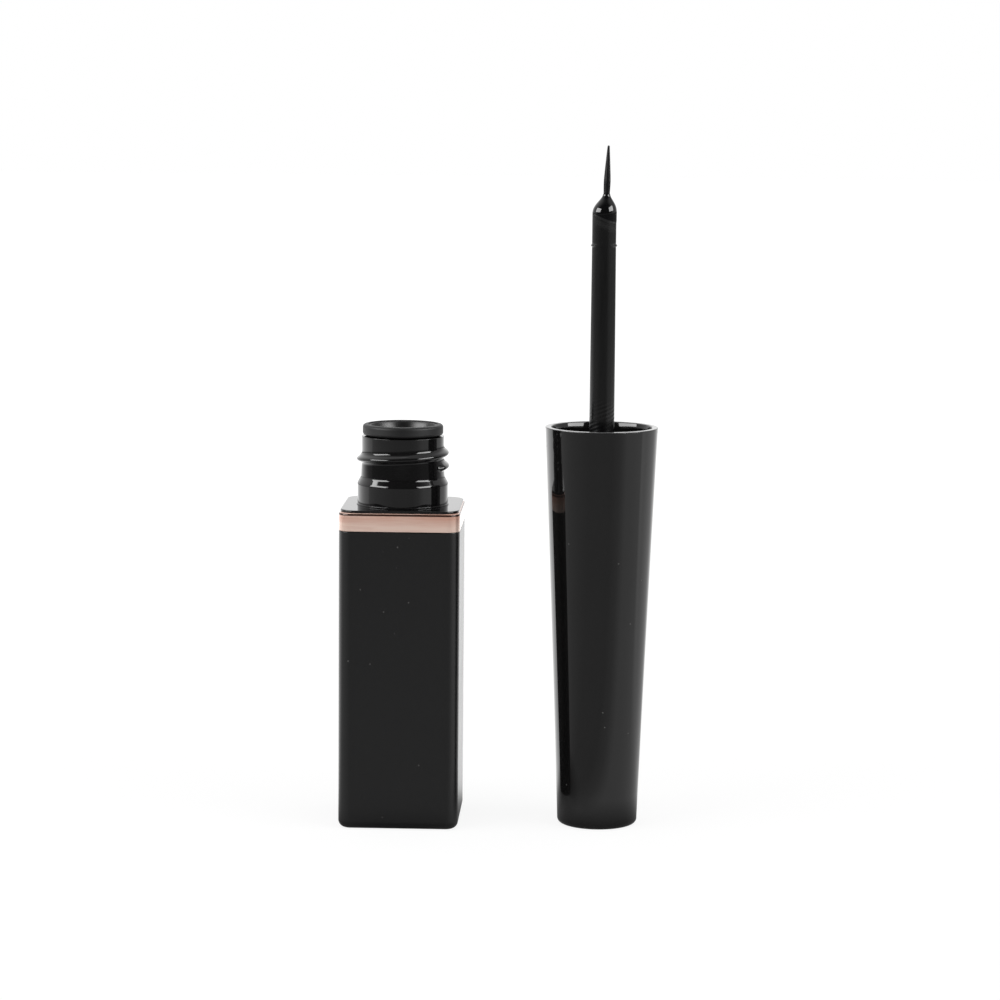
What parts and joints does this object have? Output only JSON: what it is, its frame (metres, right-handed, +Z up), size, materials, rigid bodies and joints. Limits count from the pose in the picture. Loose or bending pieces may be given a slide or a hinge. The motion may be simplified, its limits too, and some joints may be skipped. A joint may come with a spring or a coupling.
{
  "type": "liquid eyeliner",
  "caption": "Liquid eyeliner, open: square bottle with threaded round neck and wiper, and a tapered cap stood upside down beside it with its stem and pointed brush upwards.",
  "frame": {"origin": "centre of the bottle's flat base, on the surface that bottle and cap stand on", "axes": "+Z up along the bottle and the wand; the bottle's front faces -Y; the cap stands at +X"},
  "size_m": [0.042, 0.0165, 0.0907],
  "materials": {
    "satin_black": "soft satin",
    "gloss_black": "polished",
    "rose_gold": "satin rose gold",
    "soft_black": "soft moulded",
    "cap_black": "polished",
    "stem_black": "satin, wet with ink at the nose",
    "inked_black": "wet with ink"
  },
  "bodies": {
    "bottle": {"outer_shell": "satin_black", "inner_bottle": "gloss_black", "shoulder_band": "rose_gold", "wiper": "soft_black"},
    "applicator": {"outer_cap": "cap_black", "inner_cap": "gloss_black", "wand_stem": "stem_black", "brush_holder": "stem_black", "brush_bristles": "inked_black"}
  },
  "joints": [
    {"name": "cap_lift", "type": "slide", "parent": "bottle", "child": "applicator", "axis": [0, 0, 1], "range_m": [0, 0.06]}
  ]
}
